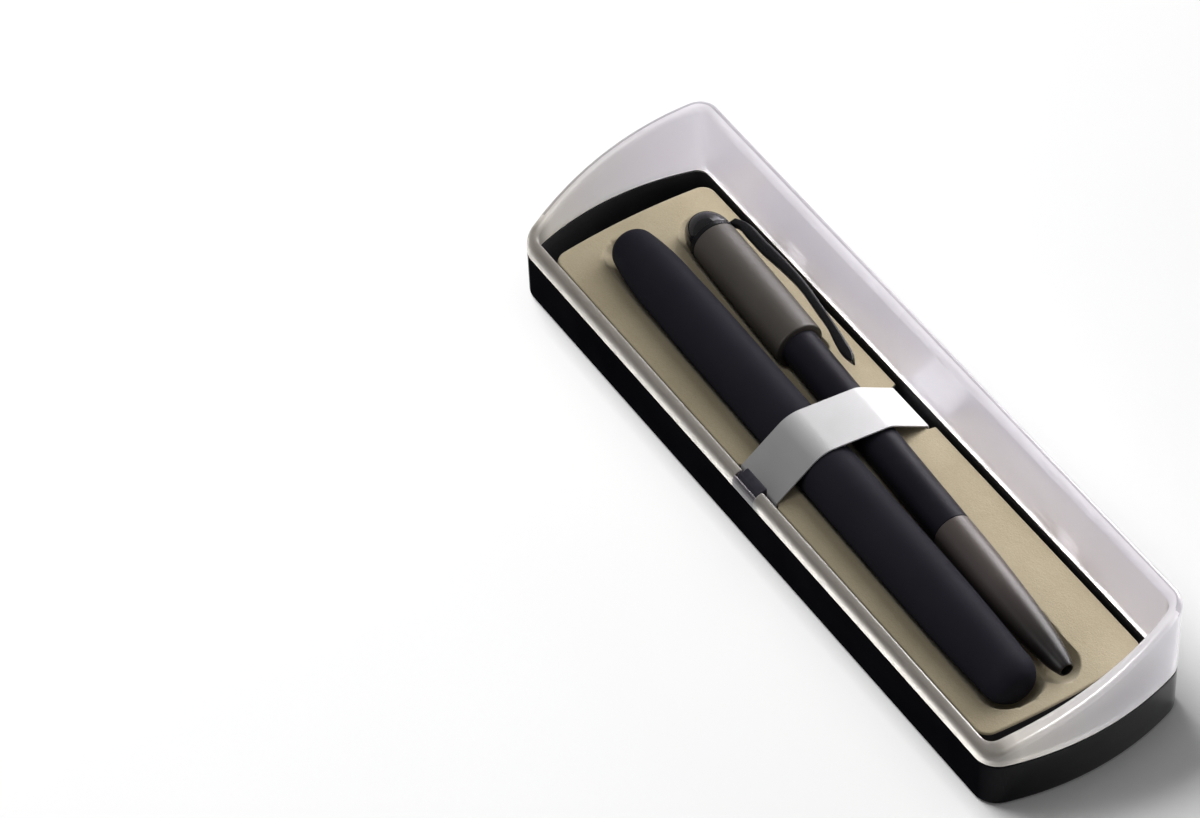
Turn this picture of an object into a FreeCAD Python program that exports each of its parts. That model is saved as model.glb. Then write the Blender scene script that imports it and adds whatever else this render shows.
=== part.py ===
import FreeCAD, Part
import math
import os

os.makedirs("parts", exist_ok=True)

V = FreeCAD.Vector

# ---------------------------------------------------------------- dimensions
# All lengths are millimetres. X runs along the box, -Y is the low front with
# the catch, +Y is the high back with the hinges, Z is up.

# plan outline shared by the base and the hood
CASE_HALF_LEN = 83.2        # apex of the bowed ends
CASE_WIDTH = 44.5           # across the straight long sides
END_RADIUS = 60.2           # bow of the short ends
CORNER_RADIUS = 5.2         # plan corner
WALL = 2.5                  # wall of base and hood

# base tub
BASE_H = 11.0
FLOOR = 1.8
BASE_FOOT_R = 0.9           # rounding under the base

# sloping hood
PART_GAP = 0.2              # joint line between base and hood
RIM_FRONT = 13.8            # rim height over the front face
RIM_BACK = 29.4             # rim height over the back face
RIM_BOW = 0.9               # the rim bulges this much above the straight slope
RIM_ROUND = 1.1             # rounding of the rim edges
JOINT_ROUND = 0.25          # small rounding at the joint line

# hinges at the back
HINGE_X = 45.0
KNUCKLE_R = 1.5
HINGE_OUT = 1.7             # axis outside the back face
HINGE_Z = 11.1
PIN_R = 0.6
PIN_FIT = 0.05
KNUCKLE_SIDE = 5.0          # each base knuckle
KNUCKLE_MID = 6.0           # hood knuckle
KNUCKLE_GAP = 0.3

# catch in the front lip
CATCH_W = 6.5
NOTCH_W = 7.0
LIP_SKIN = 0.7              # lip left in front of the catch
CATCH_PIVOT_Y = -19.1
CATCH_PIVOT_Z = 3.3
CATCH_LEAF = 0.7
TRUNNION_R = 0.5
TRUNNION_HOLE_R = 0.56

# flocked insert
TRAY_HALF_LEN = 74.15
TRAY_MID_X = -1.25          # the insert lies a little towards the far end
TRAY_MID_Y = 0.5            # and towards the back
TRAY_END_R = 150.0
TRAY_HALF_W = 18.4
TRAY_CORNER = 3.0
TRAY_TOP = 10.2
TRAY_SKIN = 1.2
TRAY_FOOT = 2.05
BOARD_T = 1.1
GROOVE_PLAY = 0.35          # room round the pens in their grooves
GROOVE_ENDS = 2.0           # room beyond the pens' ends
GROOVE_ROUND = 0.7          # soft edge of the grooves
STRAP_W = 12.0
STRAP_T = 0.5
STRAP_X = -1.5
STRAP_EDGE = 17.3           # sides of the insert, set in under the strap
STRAP_DOWN = 4.2            # lower end of the strap on the insert's sides
PEN_GAP = 0.15

# rollerball: plain capped pen lying in front
RB_LEN = 136.8
RB_R = 6.05
RB_CX = -0.8
RB_CY = -5.15
RB_CZ = 11.3
RB_SLOPE_Y = -0.018         # across the box per unit along it
RB_JOINT = -5.0             # open end of the cap, from the pen's middle

# ballpoint: twist pen lying behind
BP_R = 5.2
BP_LOW_R = 4.05
BP_CX = 1.1
BP_CY = 7.05
BP_CZ = 11.4
BP_SLOPE_Y = -0.0545
BP_FAR = -67.4
BP_JOINT = -27.2
BP_NOSE = 28.3
BP_TIP = 67.4
CLIP_TURN = 18.0            # clip stands this much above level, degrees

# the hinge barrels stand out at the back, so everything is moved forward by
# half of that to keep the origin under the middle of the whole object
Y_SHIFT = -(HINGE_OUT + KNUCKLE_R) / 2.0


# ------------------------------------------------------------------- helpers
def outline(half_len, half_w, end_r, corner_r, inset=0.0):
    """Closed plan outline: straight sides, bowed ends, rounded corners."""
    a = half_len - inset
    hw = half_w - inset
    er = end_r - inset
    cr = max(corner_r - inset, 0.6)
    cx = a - er
    yc = hw - cr
    xc = cx + math.sqrt((er - cr) ** 2 - yc ** 2)
    th = math.atan2(yc, xc - cx)
    mid = (th + math.pi / 2) / 2

    def pt(x, y):
        return V(x, y, 0)

    # upper right corner and its images in the other three quadrants
    e1 = (cx + er * math.cos(th), er * math.sin(th))
    e2 = (xc + cr * math.cos(mid), yc + cr * math.sin(mid))
    e3 = (xc, hw)
    edges = []
    edges.append(Part.Arc(pt(e1[0], -e1[1]), pt(a, 0), pt(e1[0], e1[1])).toShape())
    edges.append(Part.Arc(pt(*e1), pt(*e2), pt(*e3)).toShape())
    edges.append(Part.LineSegment(pt(*e3), pt(-e3[0], e3[1])).toShape())
    edges.append(Part.Arc(pt(-e3[0], e3[1]), pt(-e2[0], e2[1]), pt(-e1[0], e1[1])).toShape())
    edges.append(Part.Arc(pt(-e1[0], e1[1]), pt(-a, 0), pt(-e1[0], -e1[1])).toShape())
    edges.append(Part.Arc(pt(-e1[0], -e1[1]), pt(-e2[0], -e2[1]), pt(-e3[0], -e3[1])).toShape())
    edges.append(Part.LineSegment(pt(-e3[0], -e3[1]), pt(e3[0], -e3[1])).toShape())
    edges.append(Part.Arc(pt(e3[0], -e3[1]), pt(e2[0], -e2[1]), pt(e1[0], -e1[1])).toShape())
    return Part.Wire(edges)


def slab(wire, z0, z1):
    s = Part.Face(wire).extrude(V(0, 0, z1 - z0))
    s.translate(V(0, 0, z0))
    return s


def box(x0, x1, y0, y1, z0, z1):
    return Part.makeBox(x1 - x0, y1 - y0, z1 - z0, V(x0, y0, z0))


def cyl_x(r, x0, x1, y, z):
    return Part.makeCylinder(r, x1 - x0, V(x0, y, z), V(1, 0, 0))


def poly_prism(yz, x0, x1):
    """Prism along X over a polygon in the YZ plane."""
    pts = [V(x0, y, z) for y, z in yz]
    w = Part.makePolygon(pts + [pts[0]])
    return Part.Face(w).extrude(V(x1 - x0, 0, 0))


def turned(profile):
    """Solid of revolution about X. profile: list of (u, r) or ('arc', (u,r) mid, (u,r) end)."""
    pts = [V(profile[0][0], 0, profile[0][1])]
    edges = []
    for p in profile[1:]:
        if p[0] == "arc":
            m, e = V(p[1][0], 0, p[1][1]), V(p[2][0], 0, p[2][1])
            edges.append(Part.Arc(pts[-1], m, e).toShape())
            pts.append(e)
        else:
            e = V(p[0], 0, p[1])
            edges.append(Part.LineSegment(pts[-1], e).toShape())
            pts.append(e)
    if (pts[-1] - pts[0]).Length > 1e-9:
        edges.append(Part.LineSegment(pts[-1], pts[0]).toShape())
    return Part.Face(Part.Wire(edges)).revolve(V(0, 0, 0), V(1, 0, 0), 360)


def smooth_turned(outer, inner):
    """Turned shell: outer side is a smooth curve through (u, r) points."""
    c = Part.BSplineCurve()
    c.interpolate([V(u, 0, r) for u, r in outer])
    edges = [c.toShape()]
    last = V(outer[-1][0], 0, outer[-1][1])
    for u, r in inner:
        e = V(u, 0, r)
        edges.append(Part.LineSegment(last, e).toShape())
        last = e
    edges.append(Part.LineSegment(last, V(outer[0][0], 0, outer[0][1])).toShape())
    return Part.Face(Part.Wire(edges)).revolve(V(0, 0, 0), V(1, 0, 0), 360)


def place_pen(shape, cx, cy, cz, my, mz):
    d = V(1, my, mz)
    d.normalize()
    # keep the pen's own +Y side facing the back of the box
    yaw = math.degrees(math.atan2(d.y, d.x))
    pitch = -math.degrees(math.asin(d.z))
    rot = FreeCAD.Rotation(V(0, 0, 1), yaw).multiply(FreeCAD.Rotation(V(0, 1, 0), pitch))
    s = shape.copy()
    s.Placement = FreeCAD.Placement(V(cx, cy, cz), rot)
    return s


def export(shape, name):
    s = shape.copy()
    s.translate(V(0, Y_SHIFT, 0))
    solids = s.Solids
    s = solids[0] if len(solids) == 1 else Part.Compound(solids)
    assert s.isValid(), name
    assert all(k.Volume > 0 for k in solids), name
    s.exportStep("parts/%s.step" % name)
    print("%-26s solids %d volume %.1f" % (name, len(solids), s.Volume))


HW = CASE_WIDTH / 2.0
HINGE_Y = HW + HINGE_OUT


def case_wire(inset=0.0):
    return outline(CASE_HALF_LEN, HW, END_RADIUS, CORNER_RADIUS, inset)


def near(a, b, tol=1e-4):
    return abs(a - b) < tol


# ---------------------------------------------------------------- base shell
tub = slab(case_wire(), 0.0, BASE_H)
tub = tub.makeFillet(BASE_FOOT_R, [e for e in tub.Edges
                                   if near(e.BoundBox.ZMin, 0) and near(e.BoundBox.ZMax, 0)])
tub = tub.makeFillet(JOINT_ROUND, [e for e in tub.Edges
                                   if near(e.BoundBox.ZMin, BASE_H) and near(e.BoundBox.ZMax, BASE_H)])
cavity = slab(case_wire(WALL), FLOOR, BASE_H + 5)
base = tub.cut(cavity)

# base knuckles: two at each hinge, either side of the hood's knuckle
half_mid = KNUCKLE_MID / 2.0
knuckles = []
for cx in (-HINGE_X, HINGE_X):
    for x0, x1 in ((cx - half_mid - KNUCKLE_GAP - KNUCKLE_SIDE, cx - half_mid - KNUCKLE_GAP),
                   (cx + half_mid + KNUCKLE_GAP, cx + half_mid + KNUCKLE_GAP + KNUCKLE_SIDE)):
        k = cyl_x(KNUCKLE_R, x0, x1, HINGE_Y, HINGE_Z)
        web = poly_prism([(HW - 0.6, HINGE_Z - 4.2), (HW + 0.2, HINGE_Z - 4.2),
                          (HINGE_Y + 0.3, HINGE_Z - 1.47), (HINGE_Y, HINGE_Z - 0.4),
                          (HW - 0.6, HINGE_Z - 0.4)], x0, x1)
        knuckles.append(k.fuse(web))
for k in knuckles:
    base = base.fuse(k)
for cx in (-HINGE_X, HINGE_X):
    base = base.cut(cyl_x(PIN_R, cx - 9.5, cx + 9.5, HINGE_Y, HINGE_Z))

# two ribs behind the front wall carry the catch's trunnions
rib_in = NOTCH_W / 2.0 + 0.05
for sgn in (-1, 1):
    x0, x1 = sorted((sgn * rib_in, sgn * (rib_in + 1.0)))
    rib = box(x0, x1, -(HW - WALL) - 0.6, CATCH_PIVOT_Y + 0.95, FLOOR - 0.3, CATCH_PIVOT_Z + 1.4)
    base = base.fuse(rib)
base = base.cut(cyl_x(TRUNNION_HOLE_R, -6.0, 6.0, CATCH_PIVOT_Y, CATCH_PIVOT_Z).common(
    box(-6, 6, -(HW - WALL), 0, 0, BASE_H)))
base = base.removeSplitter()
export(base, "base_shell")

# ---------------------------------------------------------------- hinge pins
pins = []
for cx in (-HINGE_X, HINGE_X):
    reach = half_mid + KNUCKLE_GAP + KNUCKLE_SIDE
    pins.append(cyl_x(PIN_R, cx - reach, cx + reach, HINGE_Y, HINGE_Z))
export(Part.Compound(pins), "hinge_pins")

# ---------------------------------------------------------------- hood frame
z0 = BASE_H + PART_GAP
ring = slab(case_wire(), z0, 40).cut(slab(case_wire(WALL), z0 - 1, 41))
# the rim follows a flat arc in the YZ plane, low at the front and high at the back
chord = math.hypot(CASE_WIDTH, RIM_BACK - RIM_FRONT)
slope = math.atan2(RIM_BACK - RIM_FRONT, CASE_WIDTH)
rim_r = (chord ** 2 / 4 + RIM_BOW ** 2) / (2 * RIM_BOW)
rim_cy = (rim_r - RIM_BOW) * math.sin(slope)
rim_cz = (RIM_FRONT + RIM_BACK) / 2 - (rim_r - RIM_BOW) * math.cos(slope)


def rim_z(y):
    return rim_cz + math.sqrt(rim_r ** 2 - (y - rim_cy) ** 2)


ya, yb = -HW - 6, HW + 6
over_edges = [Part.Arc(V(-120, ya, rim_z(ya)), V(-120, 0, rim_z(0)), V(-120, yb, rim_z(yb))).toShape(),
              Part.LineSegment(V(-120, yb, rim_z(yb)), V(-120, yb, 80)).toShape(),
              Part.LineSegment(V(-120, yb, 80), V(-120, ya, 80)).toShape(),
              Part.LineSegment(V(-120, ya, 80), V(-120, ya, rim_z(ya))).toShape()]
over = Part.Face(Part.Wire(over_edges)).extrude(V(240, 0, 0))
hood = ring.cut(over)


def on_rim(e):
    for p in (e.Vertexes[0].Point, e.Vertexes[-1].Point, e.valueAt((e.FirstParameter + e.LastParameter) / 2)):
        if abs(p.z - rim_z(p.y)) > 1e-3:
            return False
    return True


hood = hood.makeFillet(RIM_ROUND, [e for e in hood.Edges if on_rim(e)])
hood = hood.makeFillet(JOINT_ROUND, [e for e in hood.Edges
                                     if near(e.BoundBox.ZMin, z0) and near(e.BoundBox.ZMax, z0)])
# notch for the catch, open upwards and inwards; a thin skin of lip stays in front
hood = hood.cut(box(-NOTCH_W / 2, NOTCH_W / 2, -HW + LIP_SKIN, -HW + WALL + 2, z0 - 1, 40))
for cx in (-HINGE_X, HINGE_X):
    k = cyl_x(KNUCKLE_R, cx - half_mid, cx + half_mid, HINGE_Y, HINGE_Z)
    web = poly_prism([(HW - 0.6, HINGE_Z + 0.45), (HINGE_Y, HINGE_Z + 0.45),
                      (HINGE_Y + 0.3, HINGE_Z + 1.47), (HW + 0.2, HINGE_Z + 4.2),
                      (HW - 0.6, HINGE_Z + 4.2)], cx - half_mid, cx + half_mid)
    hood = hood.fuse(k.fuse(web))
    hood = hood.cut(cyl_x(PIN_R + PIN_FIT, cx - half_mid - 1, cx + half_mid + 1, HINGE_Y, HINGE_Z))
hood = hood.removeSplitter()
export(hood, "hood_frame")

# --------------------------------------------------------------- catch tongue
leaf_front = CATCH_PIVOT_Y - CATCH_LEAF / 2.0
leaf_back = CATCH_PIVOT_Y + CATCH_LEAF / 2.0
head_front = -HW + LIP_SKIN + 0.2
head_low = BASE_H + 0.35
cw = CATCH_W / 2.0


head = poly_prism([(head_front, head_low), (leaf_back, head_low), (leaf_back, rim_z(leaf_back) - 0.75),
                   (head_front + 0.35, rim_z(head_front) - 0.25), (head_front, rim_z(head_front) - 0.6)], -cw, cw)
leaf = box(-cw, cw, leaf_front, leaf_back, FLOOR + 0.55, head_low + 0.2)
trunnion = cyl_x(TRUNNION_R, -(rib_in + 0.9), rib_in + 0.9, CATCH_PIVOT_Y, CATCH_PIVOT_Z)
catch = head.fuse(leaf).fuse(trunnion).removeSplitter()
catch = catch.makeFillet(0.3, [e for e in catch.Edges
                               if e.BoundBox.ZMin > head_low + 0.5 and e.BoundBox.XLength < 0.01
                               and e.BoundBox.YLength > 1.0])
export(catch, "catch_tongue")

# -------------------------------------------------------------- flocked insert


def tray_wire(inset=0.0):
    wire = outline(TRAY_HALF_LEN, TRAY_HALF_W, TRAY_END_R, TRAY_CORNER, inset)
    wire.translate(V(TRAY_MID_X, TRAY_MID_Y, 0))
    return wire


def rollerball_groove(room, ends):
    a = RB_LEN / 2 + ends
    r = RB_R + room
    return turned([(-a, 0.0), ("arc", (-a + 1.3, 4.3), (-a + 5.0, 5.75)), ("arc", (-a + 14, r - 0.12), (-a + 26, r)),
                   (a - 7, r), ("arc", (a - 1.7, r - 1.5), (a, 0.0))])


def ballpoint_groove(room, ends):
    r1, r2 = BP_R + room, BP_LOW_R + room
    a, b, j = BP_FAR - ends, BP_TIP + ends, BP_JOINT + ends
    return turned([(a, 0.0), ("arc", (a + 1.4, 3.4), (a + 5.4, r1 - 0.15)), (a + 12, r1), (j, r1), (j + 1.2, r2),
                   (b - 8, r2), ("arc", (b - 1.7, r2 - 1.6), (b, 0.0))])


def place_rb(shape):
    return place_pen(shape, RB_CX, RB_CY, RB_CZ, RB_SLOPE_Y, 0.0)


def place_bp(shape):
    return place_pen(shape, BP_CX, BP_CY, BP_CZ, BP_SLOPE_Y, 0.0)


block = slab(tray_wire(), TRAY_FOOT, TRAY_TOP)
tray = block.cut(place_rb(rollerball_groove(GROOVE_PLAY, GROOVE_ENDS)))
tray = tray.cut(place_bp(ballpoint_groove(GROOVE_PLAY, GROOVE_ENDS)))
top_edges = [e for e in tray.Edges if near(e.BoundBox.ZMin, TRAY_TOP, 1e-3) and near(e.BoundBox.ZMax, TRAY_TOP, 1e-3)]
tray = tray.makeFillet(GROOVE_ROUND, top_edges)
# hollow underneath, following the grooves at an even thickness
hollow = slab(tray_wire(TRAY_SKIN), TRAY_FOOT - 1, TRAY_TOP - TRAY_SKIN)
hollow = hollow.cut(place_rb(rollerball_groove(GROOVE_PLAY + TRAY_SKIN, GROOVE_ENDS + TRAY_SKIN)))
hollow = hollow.cut(place_bp(ballpoint_groove(GROOVE_PLAY + TRAY_SKIN, GROOVE_ENDS + TRAY_SKIN)))
# the side stays thick behind the strap's rebate at the back
sx0, sx1 = STRAP_X - STRAP_W / 2 - 0.4, STRAP_X + STRAP_W / 2 + 0.4
hollow = hollow.cut(box(sx0 - TRAY_SKIN, sx1 + TRAY_SKIN, STRAP_EDGE - TRAY_SKIN, TRAY_HALF_W + 3,
                        TRAY_FOOT + BOARD_T + 0.05, TRAY_TOP + 1))
tray = tray.cut(hollow)
for sgn in (-1, 1):
    y0, y1 = sorted((sgn * STRAP_EDGE, sgn * (TRAY_HALF_W + 3)))
    tray = tray.cut(box(sx0, sx1, y0, y1, TRAY_FOOT - 1, TRAY_TOP + 1))
export(tray, "insert_tray")

# board that closes the insert underneath
board = slab(tray_wire(TRAY_SKIN + 0.05), TRAY_FOOT, TRAY_FOOT + BOARD_T)
board = board.cut(place_rb(rollerball_groove(GROOVE_PLAY + TRAY_SKIN + 0.05, GROOVE_ENDS + TRAY_SKIN + 0.05)))
board = board.cut(box(sx0, sx1, STRAP_EDGE - 0.05, TRAY_HALF_W + 3, TRAY_FOOT - 1, TRAY_FOOT + BOARD_T + 1))
export(board, "insert_board")

# ------------------------------------------------------------------ pen strap
sx = STRAP_X
rb_y = RB_CY + RB_SLOPE_Y * (sx - RB_CX)
bp_y = BP_CY + BP_SLOPE_Y * (sx - BP_CX)
bp_z = BP_CZ
edge_y = STRAP_EDGE + 0.05
edge_z = TRAY_TOP + 0.05


def strap_side(extra):
    """One face of the strap as a chain of edges from front to back."""
    r1 = RB_R + PEN_GAP + 0.12 + extra
    r2 = BP_LOW_R + PEN_GAP + 0.3 + extra
    c1, c2 = (rb_y, RB_CZ), (bp_y, bp_z)
    rc = 0.06 + extra                      # fold over the insert's edges
    f = (-(edge_y - 0.06), edge_z - 0.06)  # fold centres
    b = (edge_y - 0.06, edge_z - 0.06)

    def ext_tangent(ca, ra, cb, rb):
        dx, dy = cb[0] - ca[0], cb[1] - ca[1]
        d = math.hypot(dx, dy)
        ang = math.atan2(dy, dx)
        off = math.acos((ra - rb) / d)
        t = ang + off
        return ((ca[0] + ra * math.cos(t), ca[1] + ra * math.sin(t)),
                (cb[0] + rb * math.cos(t), cb[1] + rb * math.sin(t)))

    a0, a1 = ext_tangent(f, rc, c1, r1)
    m0, m1 = ext_tangent(c1, r1, c2, r2)
    e0, e1 = ext_tangent(c2, r2, b, rc)

    def arc(c, r, p, q):
        t0 = math.atan2(p[1] - c[1], p[0] - c[0])
        t1 = math.atan2(q[1] - c[1], q[0] - c[0])
        tm = (t0 + t1) / 2
        return p, (c[0] + r * math.cos(tm), c[1] + r * math.sin(tm)), q

    start = (f[0] - rc, STRAP_DOWN)
    s1 = (f[0] - rc, f[1])
    s2 = (b[0] + rc, b[1])
    stop = (b[0] + rc, STRAP_DOWN)
    chain = [("l", start, s1)]
    # fold arc at the front: from straight left round to the tangent point
    t0, t1 = math.pi, math.atan2(a0[1] - f[1], a0[0] - f[0])
    tm = (t0 + t1) / 2
    chain.append(("a", s1, (f[0] + rc * math.cos(tm), f[1] + rc * math.sin(tm)), a0))
    chain.append(("l", a0, a1))
    chain.append(("a",) + arc(c1, r1, a1, m0))
    chain.append(("l", m0, m1))
    chain.append(("a",) + arc(c2, r2, m1, e0))
    chain.append(("l", e0, e1))
    t0, t1 = math.atan2(e1[1] - b[1], e1[0] - b[0]), 0.0
    tm = (t0 + t1) / 2
    chain.append(("a", e1, (b[0] + rc * math.cos(tm), b[1] + rc * math.sin(tm)), s2))
    chain.append(("l", s2, stop))
    return chain


def chain_edges(chain, x):
    out = []
    for c in chain:
        p = [V(x, q[0], q[1]) for q in c[1:]]
        out.append(Part.Arc(*p).toShape() if c[0] == "a" else Part.LineSegment(*p).toShape())
    return out


inner, outer = strap_side(0.0), strap_side(STRAP_T)
x0 = STRAP_X - STRAP_W / 2
edges = chain_edges(inner, x0)
edges.append(Part.LineSegment(V(x0, *inner[-1][-1]), V(x0, *outer[-1][-1])).toShape())
edges += chain_edges(outer, x0)[::-1]
edges.append(Part.LineSegment(V(x0, *outer[0][1]), V(x0, *inner[0][1])).toShape())
strap = Part.Face(Part.Wire(Part.__sortEdges__(edges))).extrude(V(STRAP_W, 0, 0))
export(strap, "pen_strap")

# flat staples that hold the strap's ends to the insert's sides
staples = []
so = edge_y + STRAP_T
for sgn in (-1, 1):
    for dx in (-3.2, 3.2):
        y0, y1 = sorted((sgn * so, sgn * (so + 0.25)))
        staples.append(box(STRAP_X + dx - 1.6, STRAP_X + dx + 1.6, y0, y1, STRAP_DOWN + 0.9, STRAP_DOWN + 1.3))
export(Part.Compound(staples), "strap_staples")

# ----------------------------------------------------------------- rollerball
h = RB_LEN / 2

# cap: slim towards its rounded far end, plain tube elsewhere
cap_far = [(-h, 0.0)]
cap = turned([(-h, 0.0), (-h, 2.0), ("arc", (-h + 1.1, 3.75), (-h + 3.2, 4.75)),
              ("arc", (-h + 8.5, 5.5), (-h + 17, 5.85)), ("arc", (-h + 25, 6.0), (-h + 34, RB_R)),
              (RB_JOINT - 0.3, RB_R), ("arc", (RB_JOINT - 0.09, RB_R - 0.09), (RB_JOINT, RB_R - 0.3)),
              (RB_JOINT, 5.25), (-h + 24, 5.1), (-h + 14, 4.7), (-h + 5.5, 4.1), (-h + 3.5, 2.2), (-h + 2.8, 0.0)])
export(place_rb(cap), "rollerball_cap")

# liner that closes round the writing tip inside the cap
liner = turned([(-h + 14.4, 4.66), (-h + 23.6, 5.05), (-h + 23.6, 3.6), (-h + 16.4, 3.2), (-h + 16.4, 0.0), (-h + 14.4, 0.0)])
export(place_rb(liner), "rollerball_cap_liner")

bj = RB_JOINT + 0.2
barrel = turned([(bj, RB_R - 0.3), ("arc", (bj + 0.09, RB_R - 0.09), (bj + 0.3, RB_R)),
                 (h - 34, RB_R), ("arc", (h - 17, 5.86), (h - 5.0, 5.44)), ("arc", (h - 2.1, 4.9), (h - 0.7, 3.85)),
                 ("arc", (h - 0.16, 2.65), (h, 1.4)), (h, 0.0),
                 (h - 4.0, 0.0), (h - 4.0, 3.4), (bj + 9, 3.4), (bj + 9, 4.6), (bj, 4.6)])
export(place_rb(barrel), "rollerball_barrel")

grip = turned([(bj + 8.8, 4.58), (bj - 0.05, 4.58), (bj - 0.05, 5.17), (bj - 5.0, 5.17), (bj - 5.4, 4.8), (bj - 12, 4.6),
               (bj - 30, 3.9), (bj - 34, 3.3), (bj - 38, 1.7), (bj - 38, 1.3), (bj - 34, 1.3), (bj - 32, 3.1),
               (bj + 8.8, 3.1)])
export(place_rb(grip), "rollerball_grip_section")

refill = turned([(bj - 40.6, 0.0), (bj - 40.6, 0.35), (bj - 39.6, 0.6), (bj - 38.2, 1.1), (bj - 33.6, 1.2), (bj - 31.4, 3.0),
                 (bj + 60, 3.0), (bj + 61, 2.4), (bj + 61, 0.0)])
export(place_rb(refill), "rollerball_refill")

# ------------------------------------------------------------------ ballpoint

CR = BP_FAR + 6.4           # crown meets the clip ring
crown = turned([(BP_FAR, 0.0), ("arc", (BP_FAR + 0.9, 2.6), (BP_FAR + 3.0, 4.2)), ("arc", (BP_FAR + 4.6, 4.72), (CR, 4.85)),
                (CR, 3.0), (CR + 3.0, 3.0), (CR + 3.0, 0.0)])
export(place_bp(crown), "ballpoint_crown")

up0 = CR + 1.2              # upper barrel starts behind the clip ring
upper = turned([(up0, 4.9), ("arc", (up0 + 12, 5.1), (up0 + 26, BP_R)), (BP_JOINT - 0.3, BP_R), (BP_JOINT, BP_R - 0.3),
                (BP_JOINT, 3.45), (up0 + 22, 3.45), (up0 + 2.2, 3.45), (up0 + 2.2, 3.02), (up0, 3.02)])
export(place_bp(upper), "ballpoint_upper_barrel")

# clip: ring under the crown and a bowed arm on the pen's back side
ring_ = turned([(CR + 0.05, 4.95), (CR + 1.15, 4.95), (CR + 1.15, 3.02), (CR + 0.05, 3.02)])
arm_low, arm_high = -0.5, 1.5
arm_in = [(CR + 0.2, 4.4), (CR + 1.6, 5.25), (CR + 5.0, 5.5), (CR + 9.5, 5.7), (CR + 18, 6.65), (CR + 22, 6.95), (CR + 30, 6.55),
          (CR + 35, 6.2), (CR + 38.5, 5.5), (CR + 41.5, 5.15), (CR + 44.5, 5.5)]
arm_out = [(CR + 0.2, 6.3), (CR + 2.0, 7.2), (CR + 9.0, 8.0), (CR + 16, 8.6), (CR + 22, 8.75), (CR + 30, 8.35), (CR + 36, 7.9),
           (CR + 40, 7.5), (CR + 43.5, 6.9), (CR + 44.9, 6.3)]
c = Part.BSplineCurve()
c.interpolate([V(u, r, 0) for u, r in arm_in])
c2 = Part.BSplineCurve()
c2.interpolate([V(u, r, 0) for u, r in arm_out])
arm_face = Part.Face(Part.Wire([c.toShape(), Part.LineSegment(c.EndPoint, c2.EndPoint).toShape(), c2.toShape(),
                                Part.LineSegment(c2.StartPoint, c.StartPoint).toShape()]))
arm = arm_face.extrude(V(0, 0, arm_high - arm_low))
arm.translate(V(0, 0, arm_low))
clip = ring_.fuse(arm).removeSplitter()
clip = clip.cut(turned([(CR - 3, 0), (CR - 3, 9), (CR + 0.05, 9), (CR + 0.05, 3.02), (CR + 1.15, 3.02), (CR + 1.15, 0)]))
clip = clip.cut(turned([(CR + 1.15, 0), (CR + 1.15, 5.0), (CR + 6, 5.2), (CR + 6, 0)]))
clip.rotate(V(0, 0, 0), V(1, 0, 0), CLIP_TURN)
export(place_bp(clip), "ballpoint_clip")

cam = turned([(up0 + 3.2, 3.4), (BP_JOINT - 9.0, 3.4), (BP_JOINT - 9.0, 1.7), (up0 + 5.2, 1.7), (up0 + 5.2, 0.0), (up0 + 3.2, 0.0)])
export(place_bp(cam), "ballpoint_twist_cam")

lj = BP_JOINT + 0.2
lower = turned([(BP_JOINT - 8.0, 3.38), (lj, 3.38), (lj, BP_LOW_R - 0.05), (BP_NOSE - 0.05, BP_LOW_R), (BP_NOSE - 0.05, 3.2),
                (BP_NOSE - 6.0, 3.2), (BP_NOSE - 6.0, 2.2), (BP_JOINT - 8.0, 2.2)])
export(place_bp(lower), "ballpoint_lower_barrel")

nose = turned([(BP_NOSE, BP_LOW_R), ("arc", (BP_NOSE + 14, 3.98), (BP_NOSE + 26, 3.5)),
               ("arc", (BP_NOSE + 31.4, 3.05), (BP_NOSE + 35.2, 2.5)), ("arc", (BP_NOSE + 37.6, 1.98), (BP_TIP, 1.45)),
               (BP_TIP, 1.2), (BP_TIP - 6.0, 1.2), (BP_TIP - 6.0, 1.9), (BP_NOSE - 5.8, 1.9), (BP_NOSE - 5.8, 3.17), (BP_NOSE, 3.17)])
export(place_bp(nose), "ballpoint_nose_cone")

bref = turned([(BP_JOINT - 18.0, 0.0), (BP_JOINT - 18.0, 1.5), (BP_TIP - 10.4, 1.5), (BP_TIP - 9.6, 1.1), (BP_TIP - 2.6, 1.1),
               (BP_TIP - 1.5, 0.4), (BP_TIP - 1.3, 0.0)])
export(place_bp(bref), "ballpoint_refill")

print("Y shift %.3f" % Y_SHIFT)
print("hinge axis y %.3f z %.3f" % (HINGE_Y + Y_SHIFT, HINGE_Z))
print("catch pivot y %.3f z %.3f" % (CATCH_PIVOT_Y + Y_SHIFT, CATCH_PIVOT_Z))
print("rollerball centre", RB_CX, RB_CY + Y_SHIFT, RB_CZ)
print("ballpoint centre", BP_CX, BP_CY + Y_SHIFT, BP_CZ)
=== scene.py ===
import bpy
import math
import numpy as np
from mathutils import Vector, Matrix


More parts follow.
